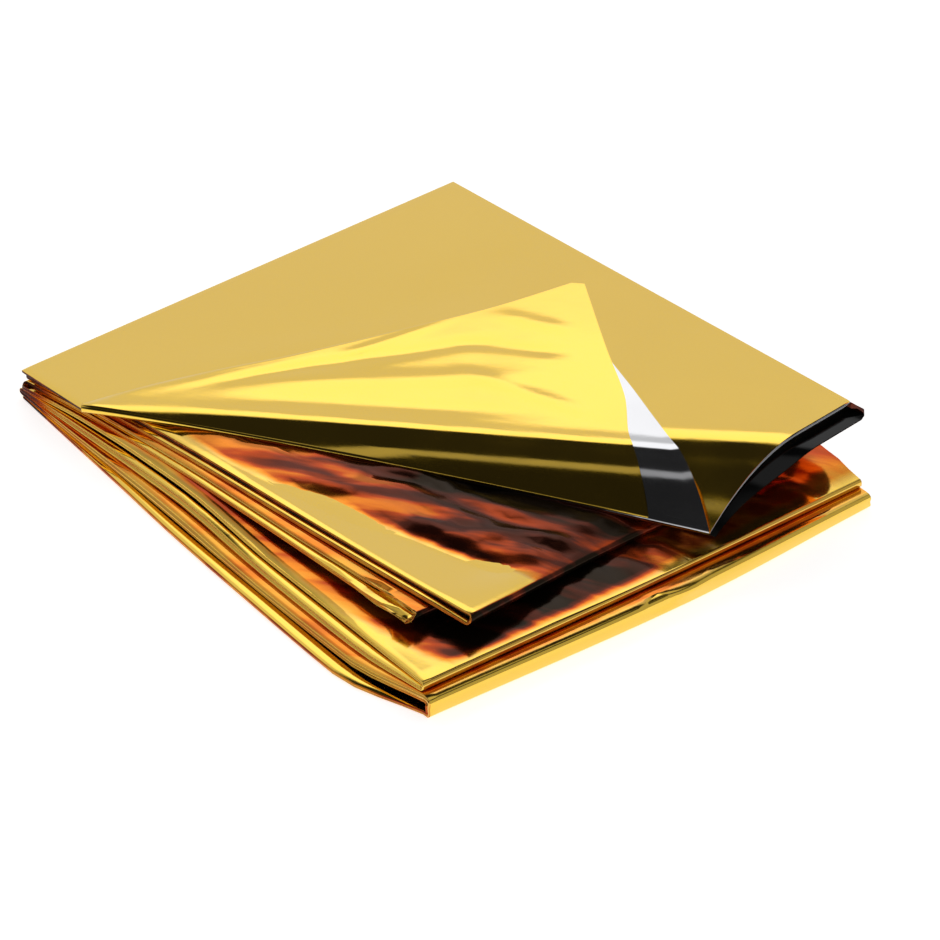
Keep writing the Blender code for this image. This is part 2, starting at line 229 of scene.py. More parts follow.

# Gold by its depth in the folds: plain in the open, painted red deeper in for the glow of many reflections,
# and painted shade in the dark
GOLD_WITH_PAINTED_GLOW_AND_SHADE = (
    (0.0, (0.95, 0.61, 0.045)),
    (0.15, (0.78, 0.42, 0.05)),
    (0.32, (0.8, 0.24, 0.02)),
    (0.48, (0.45, 0.06, 0.01)),
    (0.68, (0.1, 0.02, 0.01)),
    (1.0, (0.02, 0.012, 0.006)),
)
GOLD_TINT = (0.98, 0.95, 0.85)      # what multiplies it in its clouds
SILVER_STOPS = ((0.35, (0.6, 0.6, 0.62)), (0.65, (0.68, 0.68, 0.7)))
# Painted shade of the silver, by its depth in the folds
SILVER_PAINTED_SHADE = (0.02, 0.02, 0.02)

# Film: its roughness and what its satin patches and the depth of the folds add, the clear polyester over the
# metal, and fine scuffs
ROUGHNESS = 0.05
SATIN = 0.08
DEEP_ROUGHNESS = 0.1
COAT_IOR = 1.55
COAT_ROUGHNESS = 0.05
SPECULAR = 0.1
SCUFF_STRENGTH = 0.18
SCUFF_HEIGHT = 0.0002

# Noise of the film: blotches in a metre, octaves, and stretch along and across the corner's fold
SATIN_PATCHES = dict(scale=22.0, detail=3.0)
SCUFFS = dict(scale=130.0, detail=4.0, stretch=(1.5, 0.7, 1.0))
GLOW_STREAKS = dict(scale=55.0, detail=3.0, stretch=(3.0, 0.6, 1.0))
GOLD_CLOUDS = dict(scale=9.0, detail=2.0)
SILVER_CLOUDS = dict(scale=15.0, detail=3.0)
NOISE_RANGE = (0.35, 0.65)

# Ranges of a value, and what it gives at their ends
# Streaks in the gold's painted glow and painted shade
STREAK_SHARE = (*NOISE_RANGE, 0.65, 1.3)    # what the noise multiplies the depth by
CLOUD_SHARE = (0.3, 0.7, 0.0, 0.35)         # strength of the clouds
METALLIC_BY_DEPTH = (0.1, 0.6, 1.0, 0.85)
COAT_BY_DEPTH = (0.05, 0.35, 1.0, 0.05)

# Colour sockets of Blender's Mix node, by number because their names repeat
MIX_FIRST = 6
MIX_SECOND = 7
MIX_RESULT = 2

# Photo's camera, worked out from the packet's corners: the frame is 940 pixels square
CAMERA_AIM = (0.01368, 0.00665, 0.0)
CAMERA_AZIMUTH = 52.124
CAMERA_ELEVATION = 35.233
CAMERA_DISTANCE = 2.1668
FRAME_PIXELS = 940
FOCAL_PIXELS = 6000
SENSOR = 36.0

# Studio: a pale glowing floor, pale walls under a dark ceiling, lights on the walls and small ones on the
# ceiling. Each is a round patch that is full up to so many degrees from its middle and ends further out. On
# the walls they are a bright part and a soft box behind the object, a lamp at the fore-edge and, at the
# front side, a dark panel.
FLOOR_SIZE = 12.0
FLOOR_COLOUR = 0.95
FLOOR_ROUGHNESS = 0.8
FLOOR_GLOW = 0.72
WALL = 0.45
CEILING = 0.02
CEILING_FROM = (49.0, 54.0)
WALL_LIGHTS = (
    dict(azimuth=237.0, elevation=22.0, full=34.0, end=60.0, level=0.75),
    dict(azimuth=233.0, elevation=45.0, full=10.5, end=14.5, level=1.4),
    dict(azimuth=72.0, elevation=30.0, full=20.0, end=42.0, level=0.5),
    dict(azimuth=14.0, elevation=34.0, full=20.0, end=30.0, level=0.015),
)
CEILING_LIGHTS = (
    dict(azimuth=5.0, elevation=54.0, full=2.5, end=6.0, level=0.4),
    dict(azimuth=165.0, elevation=78.0, full=13.0, end=21.0, level=0.55),
    dict(azimuth=215.0, elevation=84.0, full=11.0, end=16.0, level=0.55),
    dict(azimuth=60.0, elevation=62.0, full=12.0, end=22.0, level=0.3),
)


def smooth(x, xs, values):
    """Read a table of values at x along a smooth curve that doesn't overshoot its points."""
    xs, values = np.asarray(xs, float), np.asarray(values, float)
    step = np.diff(xs)
    slope = np.diff(values, axis=0) / step.reshape(-1, *[1] * (values.ndim - 1))
    tangent = np.zeros(values.shape)
    tangent[0], tangent[-1] = slope[0], slope[-1]
    same = slope[:-1] * slope[1:] > 0
    product = 2 * slope[:-1] * slope[1:]
    total = np.where(same, slope[:-1] + slope[1:], 1.0)
    tangent[1:-1] = np.where(same, product / total, 0.0)
    i = np.clip(np.searchsorted(xs, x, side="right") - 1, 0, len(step) - 1)
    t = np.clip((x - xs[i]) / step[i], 0.0, 1.0)
    h = step[i]
    return ((2 * t ** 3 - 3 * t ** 2 + 1) * values[i] + (t ** 3 - 2 * t ** 2 + t) * h * tangent[i]
            + (3 * t ** 2 - 2 * t ** 3) * values[i + 1] + (t ** 3 - t ** 2) * h * tangent[i + 1])


def across(share, front, middle, back):
    """Blend values given at the front side, the middle and the back side."""
    return smooth(share, (0.0, BEND_AT, 1.0), (front, middle, back))


def leaf_height(leaf, x, share, end_x):
    """Height of a leaf's middle surface at distances x from the spine."""
    rows = [smooth(x, (*STATIONS, end_x), leaf[side]) for side in ("front", "middle", "back")]
    return across(share, *rows)


def leaf_ends(index, shares):
    """Start and end of each leaf's flat part, allowing for the half circles of its folds."""
    tip = TIPS[index // 2]
    below = LEAVES[index - index % 2]
    above = LEAVES[index - index % 2 + 1]
    start = SPINE_X[(index + 1) // 2] + SHEET / 2
    ends = []
    for share in shares:
        tip_x = across(share, tip["front"], tip["middle"], tip["back"]) - SHEET / 2
        heights = [leaf_height(leaf, tip_x, share, tip_x) for leaf in (below, above)]
        ends.append((start, tip_x - (heights[1] - heights[0]) / 2))
    return np.array(ends)


def direction(azimuth, elevation):
    """Unit vector that points from the object towards an azimuth and elevation, in degrees."""
    turn, rise = math.radians(azimuth), math.radians(elevation)
    return Vector((math.sin(turn) * math.cos(rise), -math.cos(turn) * math.cos(rise), math.sin(rise)))


def fold_distances(x, y):
    """How far points lie along the fold line, and how far behind it."""
    along = (x - FOLD_START[0]) * FOLD_ALONG[0] + (y - FOLD_START[1]) * FOLD_ALONG[1]
    ahead = (x - FOLD_START[0]) * FOLD_AHEAD[0] + (y - FOLD_START[1]) * FOLD_AHEAD[1]
    return np.maximum(along, 0.0), -ahead


def droop_at(along, behind, width):
    """How far a bend of that width behind the fold line has come down."""
    bend = np.clip(1.0 - behind / width, 0.0, 1.0)
    return DROOP_DEPTH * (along / FOLD_LENGTH) ** DROOP_GROWTH * bend ** 2


def crest_at(along):
    """How far behind the fold line the top leaf's crest lies."""
    return CREST_START + CREST_SPREAD * along


def top_height(x, y):
    """Height of the top leaf, which droops from its crest down to the fold line."""
    along, behind = fold_distances(x, y)
    return TOP_LEVEL + TOP_RISE_X * x + TOP_RISE_Y * y - droop_at(along, behind, crest_at(along))


def top_normal(x, y):
    """Upward normal of the top leaf at points, just behind the fold line."""
    back_x, back_y = x - FOLD_AHEAD[0] * PROBE, y - FOLD_AHEAD[1] * PROBE
    here = top_height(back_x, back_y)
    rise_x = (top_height(back_x + PROBE, back_y) - here) / PROBE
    rise_y = (top_height(back_x, back_y + PROBE) - here) / PROBE
    normal = np.stack((-rise_x, -rise_y, np.ones_like(here)), axis=-1)
    return normal / np.linalg.norm(normal, axis=-1, keepdims=True)


def line_points(points, count):
    """Evenly spaced points along a smooth line through the given ones, ends included."""
    points = np.asarray(points, float)
    length = np.concatenate(([0.0], np.cumsum(np.linalg.norm(np.diff(points, axis=0), axis=1))))
    places = np.linspace(0.0, length[-1], count)
    return smooth_rows(places, length, points)


def smooth_rows(places, xs, points):
    """Read each column of a table of points at several places."""
    return np.stack([smooth(places, xs, points[:, axis]) for axis in range(points.shape[1])], axis=-1)


def on_top(plan):
    """Points of the top leaf's middle surface above plan points."""
    return np.concatenate((plan, top_height(plan[..., 0], plan[..., 1])[..., None]), axis=-1)


def leaf_grid(index, shares):
    """One of the lower leaves, rows from the spine to the fore-edge: its middle surface, the room that its
    plies fill on either side, and how deep in the folds its first ply lies."""
    leaf = LEAVES[index]
    even = np.linspace(0.0, 1.0, leaf["rows"])
    ways = (1 - EVEN_ROWS) * (1 - np.cos(np.pi * even)) / 2 + EVEN_ROWS * even
    columns, room = [], []
    for share, (start, end) in zip(shares, leaf_ends(index, shares)):
        x = start + (end - start) * ways
        setback = smooth(x, (*STATIONS, end), leaf["setback"])
        height = leaf_height(leaf, x, share, end)
        columns.append(np.stack((x, setback + (LEAF_WIDTH - setback) * share, height), axis=-1))
        under, over = height, np.full_like(x, OPEN_ROOM)
        if index > 0:
            under = height - leaf_height(LEAVES[index - 1], x, share, end)
        if index < len(LEAVES) - 1:
            over = leaf_height(LEAVES[index + 1], x, share, end) - height
        room.append(np.stack((under, over), axis=-1))
    fill = np.minimum(np.stack(room, axis=1) * PLY_CLEARANCE, leaf["loft"])
    if index == 0:
        fill[..., 0] = SHEET / 2 - FLOOR_GAP
    grid = np.stack(columns, axis=1)
    if "strip" in leaf:
        grid[..., 2] += strip_tilt(leaf, grid, shares)
    return grid, fill, leaf_depth(leaf, grid, shares)


def strip_width(leaf, x):
    """Width of the open strip along a leaf's front, at distances from the spine."""
    return smooth(x, *zip(*leaf["strip"]))


def strip_tilt(leaf, grid, shares):
    """Height change that tilts a leaf's open strip back about a line near its front."""
    side = shares[None, :] * LEAF_WIDTH
    strip = strip_width(leaf, grid[..., 0])
    behind = grid[-1, :, 0] - grid[..., 0]
    fade = soft_step(behind, TILT_START, TILT_END) * (1 - soft_step(side, strip, strip + TILT_END))
    return leaf["tilt"] * (TILT_PIVOT - np.minimum(side, strip)) * fade


def leaf_depth(leaf, grid, shares):
    """How deep in the folds a leaf's first ply lies, which sets its painted glow and painted shade."""
    if "strip" not in leaf:
        return np.full(grid.shape[:2], BETWEEN_DEPTH)
    side = shares[None, :] * LEAF_WIDTH
    strip = strip_width(leaf, grid[..., 0])
    behind = grid[-1, :, 0] - grid[..., 0]
    glow = np.minimum(soft_step(side, strip, strip + GLOW_START), soft_step(behind, *leaf["edge"][:2]))
    dark = soft_step(side, strip + leaf["glow"], strip + 2 * leaf["glow"])
    dark = np.minimum(dark, soft_step(behind, *leaf["edge"][2:]))
    shade = smooth(side, *zip(*leaf["shade"]))
    return glow * shade + dark * (1 - shade)


def nosed(value, nose):
    """Sine or cosine of a turn, made squarer by a power under 1."""
    return np.sign(value) * abs(value) ** nose


def turn_grid(below, above, outward, nose=1.0, groove=0.0):
    """Rows round the half circle that joins the ends of two leaves."""
    centre = (below + above) / 2
    radius = (above[:, 2] - below[:, 2]) / 2
    rows = []
    for k in range(1, TURN_STEPS):
        angle = np.pi * (k / TURN_STEPS - 0.5)
        row = below + (above - below) * (k / TURN_STEPS)
        dent = groove if 2 * k == TURN_STEPS else 0.0
        row[:, 0] = centre[:, 0] + outward * (radius * nosed(np.cos(angle), nose) - dent)
        row[:, 2] = centre[:, 2] + radius * nosed(np.sin(angle), nose)
        rows.append(row)
    return np.array(rows)


def nicked(turn):
    """The lowest fold at the fore-edge with its nick, beside which the film stands out a little."""
    turn = turn.copy()
    for k in range(TURN_STEPS // 2, TURN_STEPS - 1):
        y = turn[k, :, 1]
        turn[k, :, 0] -= NICK_DEPTH * np.exp(-((y - NICK_Y) / NICK_WIDTH) ** 2)
        turn[k, :, 0] += NICK_BULGE * np.exp(-((y - NICK_Y - 4 * NICK_WIDTH) / (2 * NICK_WIDTH)) ** 2)
    return turn


def soft_step(value, low, high):
    """Go smoothly from 0 to 1 between two values."""
    t = np.clip((value - low) / (high - low), 0.0, 1.0)
    return t * t * (3 - 2 * t)


def crinkle(x, y):
    """Height of crinkled film above its flat state: sharp-ridged waves that cross at different angles."""
    chance = np.random.RandomState(CRINKLE_SEED)
    height = np.zeros_like(x)
    for _ in range(CRINKLE_WAVES):
        angle = chance.uniform(*CRINKLE_TURN)
        length = chance.uniform(*CRINKLE_LENGTH)
        bend = chance.uniform(0.0, CRINKLE_BEND)
        phase = chance.uniform(0.0, 2 * math.pi)
        place = (x * math.cos(angle) + y * math.sin(angle)) / length * 2 * math.pi + phase
        place = place + bend * np.sin((y * math.cos(angle) - x * math.sin(angle)) / length)
        height += (1.0 - np.abs(np.sin(place / 2))) * length / CRINKLE_LENGTH[1]
    return height * CRINKLE_HEIGHT


def creased(part, x, y):
    """Height that the table's creases add to a part of the sheet."""
    height = np.zeros_like(x)
    for crease in CREASES:
        if crease["part"] == part:
            start, end = np.array(crease["start"]), np.array(crease["end"])
            length = np.linalg.norm(end - start)
            way = (end - start) / length
            along = (x - start[0]) * way[0] + (y - start[1]) * way[1]
            off = (x - start[0]) * way[1] - (y - start[1]) * way[0]
            fade_length = CREASE_FADE * length
            fade = soft_step(along, 0.0, fade_length) * soft_step(length - along, 0.0, fade_length)
            height += crease["height"] * fade * np.exp(-(off / crease["width"]) ** 2)
    return height


def fan_grid(shares):
    """Middle surface of the top leaf, rows fanning from the spine round to the fold line."""
    spine_x = SPINE_X[-1] + SHEET / 2
    back = np.linspace((spine_x, LEAF_WIDTH), (TOP_CORNER_X, LEAF_WIDTH), FAN_BACK_ROWS + 1)
    fore = np.linspace((TOP_CORNER_X, LEAF_WIDTH), FOLD_FORE, FAN_FORE_ROWS + 1)
    far = np.concatenate((back, fore[1:]))
    near = np.linspace((spine_x, 0.0), FOLD_FRONT, len(far))
    grid = on_top(near[:, None] + (far - near)[:, None] * shares[None, :, None])
    grid[..., 2] += creased("top", grid[..., 0], grid[..., 1])
    return grid


def flap_grid(shares, end_line):
    """The turned-over corner's middle surface: round its turn, then back over the leaf to its blunt tip."""
    side = line_points(FLAP_SIDE, FLAP_ROWS + 1)
    end = line_points(end_line, FLAP_ROWS + 1)
    plan = side[:, None] + (end - side)[:, None] * shares[None, :, None]
    base = on_top(plan)
    normal = top_normal(plan[..., 0], plan[..., 1])
    ahead = np.cross(np.array((*FOLD_ALONG, 0.0)), normal[0])
    ahead /= np.linalg.norm(ahead, axis=-1, keepdims=True)
    radius = (SHEET + TURN_GAP) / 2
    turn = [base[0] + normal[0] * radius * (1 - np.cos(angle)) + ahead * radius * np.sin(angle)
            for angle in np.linspace(0.0, np.pi, TURN_STEPS + 1)[1:]]
    settle = np.clip(np.arange(1, FLAP_ROWS + 1) / (FLAP_SETTLE * FLAP_ROWS), 0.0, 1.0)
    gap = SHEET + TURN_GAP + (FLAP_GAP - TURN_GAP) * settle
    along, behind = fold_distances(plan[1:, :, 0], plan[1:, :, 1])
    crest = crest_at(along)
    lift = FLAP_LIFT * np.maximum(behind - LIFT_FROM * crest, 0.0)
    stand_off = droop_at(along, behind, crest) - droop_at(along, behind, FLAP_CREST * crest)
    sight = np.array(direction(CAMERA_AZIMUTH, CAMERA_ELEVATION))
    gap = gap[:, None] + creased("flap", plan[1:, :, 0], plan[1:, :, 1])
    flap = base[1:] + normal[1:] * gap[..., None] + sight / sight[2] * lift[..., None]
    flap[..., 2] += stand_off
    return np.concatenate((np.array(turn), flap))


def crinkled(leaf, grid, depth, shares):
    """A leaf's first ply, crinkled upwards where it lies in the folds."""
    x = grid[..., 0]
    strip = strip_width(leaf, x)
    inside = soft_step(depth, 0.0, CRINKLE_DEPTH) * soft_step(x, *CRINKLE_FROM)
    inside = inside * soft_step(shares * LEAF_WIDTH, strip, strip + CRINKLE_GROWTH)
    inside = inside * soft_step(x.max(axis=0) - x, 1.0, CRINKLE_GROWTH)
    grid = grid.copy()
    grid[..., 2] += inside * crinkle(x, grid[..., 1])
    return grid


def fold_blend(start, end):
    """Values round the fold between two leaves, blended from one row to the next."""
    return start + (end - start) * np.linspace(0.0, 1.0, TURN_STEPS + 1)[1:-1, None, None]


def band(shares):
    """The band from the lowest leaf to the flap: its middle surface, that of its first ply, the room that
    the plies fill on either side, and how deep in the folds the first ply lies."""
    grids, outer_grids, fills, depths = [], [], [], []
    for index, leaf in enumerate(LEAVES):
        grid, fill, depth = leaf_grid(index, shares)
        tip = TIPS[index // 2]
        if index % 2:
            grid, fill, depth = grid[::-1], fill[::-1, :, ::-1], depth[::-1]
        if grids:
            turn = (turn_grid(grids[-1][-1], grid[0], 1.0, tip["nose"], tip["groove"]) if index % 2
                    else turn_grid(grids[-1][-1], grid[0], -1.0))
            fills.append(fold_blend(fills[-1][-1], fill[0]))
            grids.append(turn)
            outer_grids.append(nicked(turn) if index == 1 else turn)
            depths.append(np.full(turn.shape[:2], tip["depth"] if index % 2 else HIDDEN_DEPTH))
        grids.append(grid)
        outer_grids.append(crinkled(leaf, grid, depth, shares) if "strip" in leaf else grid)
        fills.append(fill)
        depths.append(depth)
    fan = fan_grid(shares)
    turn = turn_grid(grids[-1][-1], fan[0], -1.0)
    flap = flap_grid(shares, FLAP_END)
    outer_flap = flap_grid(shares, FLAP_OUTER_END)
    fan_fill = np.full((*fan.shape[:2], 2), TOP_LOFT)
    fills += [fold_blend(fills[-1][-1], fan_fill[0]), fan_fill, np.full((*flap.shape[:2], 2), TOP_LOFT)]
    depths += [np.full(turn.shape[:2], HIDDEN_DEPTH), np.full(fan.shape[:2], HIDDEN_DEPTH)]
    depths.append(np.zeros(flap.shape[:2]))
    middle = np.concatenate((*grids, turn, fan, flap))
    outer = np.concatenate((*outer_grids, turn, fan, outer_flap))
    return middle, outer, np.concatenate(fills), np.concatenate(depths)


def unit(vectors):
    """Vectors of length 1."""
    return vectors / np.linalg.norm(vectors, axis=-1, keepdims=True)


def grid_normals(grid):
    """Unit normals of a grid of points."""
    return unit(np.cross(np.gradient(grid, axis=0), np.gradient(grid, axis=1)))


def ply_path(shares):
    """The plies and folds met on the way across the sheet: (ply, column) or (ply, next ply, turn angle)."""
    inner = sorted({0, 1, len(shares) - 2, len(shares) - 1, *range(0, len(shares), INNER_EVERY)})
    path = []
    for ply in range(PLIES):
        columns = list(range(len(shares))) if ply in (0, PLIES - 1) else inner
        if ply % 2 == 0:
            columns = columns[::-1]
        path += [(ply, column) for column in columns]
        if ply < PLIES - 1:
            path += [(ply, ply + 1, math.pi * k / LIP_STEPS - math.pi / 2) for k in range(1, LIP_STEPS)]
    return path


def ply_shares(broad):
    """How far up a leaf's stack each ply lies, when one of the folds between them is broad."""
    steps = []
    for lip in range(PLIES // 2):
        steps += [BROAD_LIP if lip == broad else 1.0, LIP_SPACE]
    return np.concatenate(([0.0], np.cumsum(steps[:-1]))) / sum(steps[:-1])


def leaf_row_counts():
    """How many rows of the band each of the lower leaves has, with the fold that follows it."""
    return [leaf["rows"] + TURN_STEPS - 1 for leaf in LEAVES]


def leaf_numbers(rows):
    """Which leaf each row of the band belongs to."""
    numbers = np.repeat(np.arange(len(LEAVES)), leaf_row_counts())
    return np.concatenate((numbers, np.full(rows - len(numbers), len(LEAVES))))


def row_ply_shares(rows):
    """The plies' places for each row of the band, blended from leaf to leaf."""
    table = [ply_shares(broad) for broad in (*[leaf["broad"] for leaf in LEAVES], TOP_BROAD)]
    counts = np.array(leaf_row_counts())
    centres = np.concatenate((np.cumsum(counts) - counts / 2, [rows]))
    return smooth_rows(np.arange(rows), centres, np.array(table))


def cut_end_row(rows):
    """First of the band's rows that end at the sheet's cut end."""
    return rows - FLAP_ROWS - TURN_STEPS - FAN_FORE_ROWS


def slip_shares(rows, shares):
    """How far the lower plies have slipped out at each point of the band, from 0 to 1."""
    end_row = cut_end_row(len(rows))
    along_end = np.clip((rows - end_row) / FAN_FORE_ROWS, 0.0, 1.0)
    strength = soft_step(rows, end_row - SLIP_LEAD, end_row + 1)
    strength = strength * (1 - SLIP_EASE * soft_step(along_end, 0.5, 1.0))
    strength[end_row + FAN_FORE_ROWS + 1:] = 0.0
    return strength[:, None] * np.clip((shares - SLIP_FROM) / (1 - SLIP_FROM), 0.0, 1.0)[None, :]


def lip_depths(leaf_of, x):
    """How deep each row's front folds lie, which sets their painted shade, and what the nearness of the
    spine adds.
    """
    lips = np.array([*[leaf["lips"] for leaf in LEAVES], TOP_LIPS])[leaf_of]
    depths = np.stack([smooth_depth(lips[:, lip]) for lip in range(PLIES // 2)], axis=1)
    low_shade, high_shade = [level * (1 - soft_step(x, *ends)) for level, *ends in SPINE_SHADE]
    return depths, np.where(leaf_of < len(LEAVES) - 2, low_shade, high_shade)


def ply_column(film, ply, column):
    """Points of one ply down a column of the band, and their depth in the folds, which sets their painted
    shade.
    """
    grid, normal = film["outer"] if ply == 0 else film["middle"]
    points = grid[:, column] + normal[:, column] * film["levels"][ply][:, column, None]
    if ply >= SLIPPED_PLIES:
        return points, np.zeros(len(points))
    slip = film["slip"][:, column]
    points = points + film["side"][:, column] * (slip * SLIP_REACH)[:, None]
    points[:, 2] -= slip * SLIP_DROP
    return points, film["depth"][:, column] if ply == 0 else soft_step(slip, *SLIP_SHADE)


def lip_column(film, ply, following, angle):
    """Points down the fold between two plies, at one angle of its turn, and their depth in the folds."""
    front = ply % 2 == 0
    column = 0 if front else -1
    grid, normal = film["middle"]
    grid, normal = grid[:, column], normal[:, column]
    outward = -film["side"][:, column] if front else film["side"][:, column]
    low, high = film["levels"][ply][:, column, None], film["levels"][following][:, column, None]
    reach = (high - low) / 2
    rise, bulge = nosed(math.sin(angle), LIP_NOSE), nosed(math.cos(angle), LIP_NOSE)
    lean = LIP_LEAN * rise * np.sign(normal[:, 2:]) * (film["leaf_of"] < len(LEAVES))[:, None]
    points = grid + normal * (low + high) / 2 + normal * reach * rise + outward * reach * (bulge - lean)
    lip_depth, near_spine = film["lips"]
    if not front:
        return points, lip_depth[:, ply // 2]
    rows = np.arange(len(points))
    points = points + outward * ragged(rows + ply, grid[:, 0], film["leaf_of"])[:, None]
    return points, lip_depth[:, ply // 2] + near_spine


def film_points(shares, path):
    """Every point of the film and its depth in the folds: rows along the band, columns across the sheet."""
    middle, outer, fill, depth = band(shares)
    leaf_of = leaf_numbers(len(middle))
    placed = row_ply_shares(len(middle))
    slip = slip_shares(np.arange(len(middle)), shares)
    under, over = fill[..., 0], fill[..., 1]
    levels = [(under + over) * placed[:, ply, None] - under for ply in range(PLIES)]
    levels[EDGE_PLY] = levels[EDGE_PLY] - EDGE_GAP * slip
    film = dict(
        middle=(middle, grid_normals(middle)),
        outer=(outer, grid_normals(outer)),
        side=unit(np.gradient(middle, axis=1)),
        levels=levels,
        slip=slip,
        leaf_of=leaf_of,
        lips=lip_depths(leaf_of, middle[:, 0, 0]),
        depth=depth,
    )
    columns = [ply_column(film, *place) if len(place) == 2 else lip_column(film, *place) for place in path]
    points, depths = zip(*columns)
    return np.stack(points, axis=1), np.stack(depths, axis=1)


def ragged(rows, x, leaf_of):
    """How far the front folds of the short bundle stand out where its end is ragged."""
    wave = sum(np.sin(rows * turn + start) for turn, start in RAGGED_WAVES)
    return RAGGED * wave * soft_step(x, *RAGGED_FROM) * np.isin(leaf_of, BUNDLE)


def smooth_depth(values):
    """Round off the steps in a row of values."""
    half = TURN_STEPS // 2
    reach = np.ones(TURN_STEPS) / TURN_STEPS
    return np.convolve(np.pad(values, half, mode="edge"), reach, mode="same")[half:half + len(values)]


def film_mesh(name):
    """The film's mesh, with silver where the cut end and the turned-over corner show it, and each point's
    depth in the folds, which sets its painted shade.
    """
    shares = np.linspace(0.0, 1.0, SIDE_STEPS + 1)
    path = ply_path(shares)
    points, depths = film_points(shares, path)
    rows, columns = depths.shape
    number = np.arange(rows * columns).reshape(rows, columns)
    quads = np.stack((number[:-1, :-1], number[1:, :-1], number[1:, 1:], number[:-1, 1:]), axis=-1)
    end_row = cut_end_row(rows)
    loose = np.array([len(place) == 3 and place[0] in LOOSE_FOLDS for place in path])
    keep = np.ones((rows - 1, columns - 1), bool)
    keep[end_row:, loose[:-1] | loose[1:]] = False
    silver = [place[0] in SILVER_PLIES or place[0] == EDGE_PLY and len(place) == 3 for place in path[:-1]]
    paint = np.zeros((rows - 1, columns - 1), np.int32)
    paint[end_row - SILVER_LEAD:, silver] = 1
    data = bpy.data.meshes.new(name)
    points = (points - np.array((*ORIGIN, 0.0))) * MM
    data.from_pydata(points.reshape(-1, 3).tolist(), [], quads[keep].tolist())
    data.polygons.foreach_set("use_smooth", np.ones(len(data.polygons), bool))
    data.polygons.foreach_set("material_index", paint[keep])
    data.attributes.new("depth", "FLOAT", "POINT").data.foreach_set("value", depths.ravel())
    data.update()
    return data


def ramp_between(tree, value, low, high, level_low, level_high):
    """A value that goes smoothly from one level to another; levels are numbers or sockets."""
    ramp = tree.nodes.new("ShaderNodeMapRange")
    ramp.interpolation_type = "SMOOTHSTEP"
    ramp.inputs["From Min"].default_value = low
    ramp.inputs["From Max"].default_value = high
    tree.links.new(value, ramp.inputs["Value"])
    for name, level in (("To Min", level_low), ("To Max", level_high)):
        if isinstance(level, float):
            ramp.inputs[name].default_value = level
        else:
            tree.links.new(level, ramp.inputs[name])
    return ramp.outputs["Result"]


def add_noise(tree, place, scale, detail, stretch=(1.0, 1.0, 1.0)):
    """Cloudy values about 0.5, stretched along the corner's fold; scale counts blotches in a metre."""
    mapping = tree.nodes.new("ShaderNodeMapping")
    mapping.vector_type = "TEXTURE"
    mapping.inputs["Rotation"].default_value = (0.0, 0.0, math.atan2(FOLD_ALONG[1], FOLD_ALONG[0]))
    mapping.inputs["Scale"].default_value = stretch
    tree.links.new(place, mapping.inputs["Vector"])
    noise = tree.nodes.new("ShaderNodeTexNoise")
    noise.inputs["Scale"].default_value = scale
    noise.inputs["Detail"].default_value = detail
    tree.links.new(mapping.outputs["Vector"], noise.inputs["Vector"])
    return noise.outputs["Fac"]


def add_math(tree, operation, *values):
    """The result of a sum; values are numbers or sockets."""
    node = tree.nodes.new("ShaderNodeMath")
    node.operation = operation
    for socket, value in zip(node.inputs, values):
        if isinstance(value, float):
            socket.default_value = value
        else:
            tree.links.new(value, socket)
    return node.outputs["Value"]


def add_colours(tree, value, stops):
    """A colour for each value, from a table of stops."""
    ramp = tree.nodes.new("ShaderNodeValToRGB")
    elements = ramp.color_ramp.elements
    for element, (position, colour) in zip(elements, (stops[0], stops[-1])):
        element.position = position
        element.color = (*colour, 1.0)
    for position, colour in stops[1:-1]:
        elements.new(position).color = (*colour, 1.0)
    tree.links.new(value, ramp.inputs["Fac"])
    return ramp.outputs["Color"]


def add_mix(tree, factor, first, second, blend="MIX"):
    """A colour socket blended with a fixed colour."""
    mix = tree.nodes.new("ShaderNodeMix")
    mix.data_type = "RGBA"
    mix.blend_type = blend
    tree.links.new(factor, mix.inputs["Factor"])
    tree.links.new(first, mix.inputs[MIX_FIRST])
    mix.inputs[MIX_SECOND].default_value = (*second, 1.0)
    return mix.outputs[MIX_RESULT]


def film_base(name):
    """Metallised film under its clear polyester, satin in places, with fine scuffs."""
    material = bpy.data.materials.new(name)
    material.use_nodes = True
    tree = material.node_tree
    shader = tree.nodes["Principled BSDF"]
    shader.inputs["Coat IOR"].default_value = COAT_IOR
    shader.inputs["Coat Roughness"].default_value = COAT_ROUGHNESS
    shader.inputs["Specular IOR Level"].default_value = SPECULAR
    place = tree.nodes.new("ShaderNodeTexCoord").outputs["Object"]
    patches = add_noise(tree, place, **SATIN_PATCHES)
    satin = ramp_between(tree, patches, *NOISE_RANGE, ROUGHNESS, ROUGHNESS + SATIN)
    bump = tree.nodes.new("ShaderNodeBump")
    bump.inputs["Strength"].default_value = SCUFF_STRENGTH
    bump.inputs["Distance"].default_value = SCUFF_HEIGHT
    tree.links.new(add_noise(tree, place, **SCUFFS), bump.inputs["Height"])
    tree.links.new(bump.outputs["Normal"], shader.inputs["Normal"])
    # Depth in the folds: it sets the painted glow and painted shade of the colour, and the metallic, coat
    # and roughness
    attribute = tree.nodes.new("ShaderNodeAttribute")
    attribute.attribute_name = "depth"
    depth = attribute.outputs["Fac"]
    tree.links.new(ramp_between(tree, depth, *METALLIC_BY_DEPTH), shader.inputs["Metallic"])
    tree.links.new(ramp_between(tree, depth, *COAT_BY_DEPTH), shader.inputs["Coat Weight"])
    return material, tree, shader, place, satin, depth


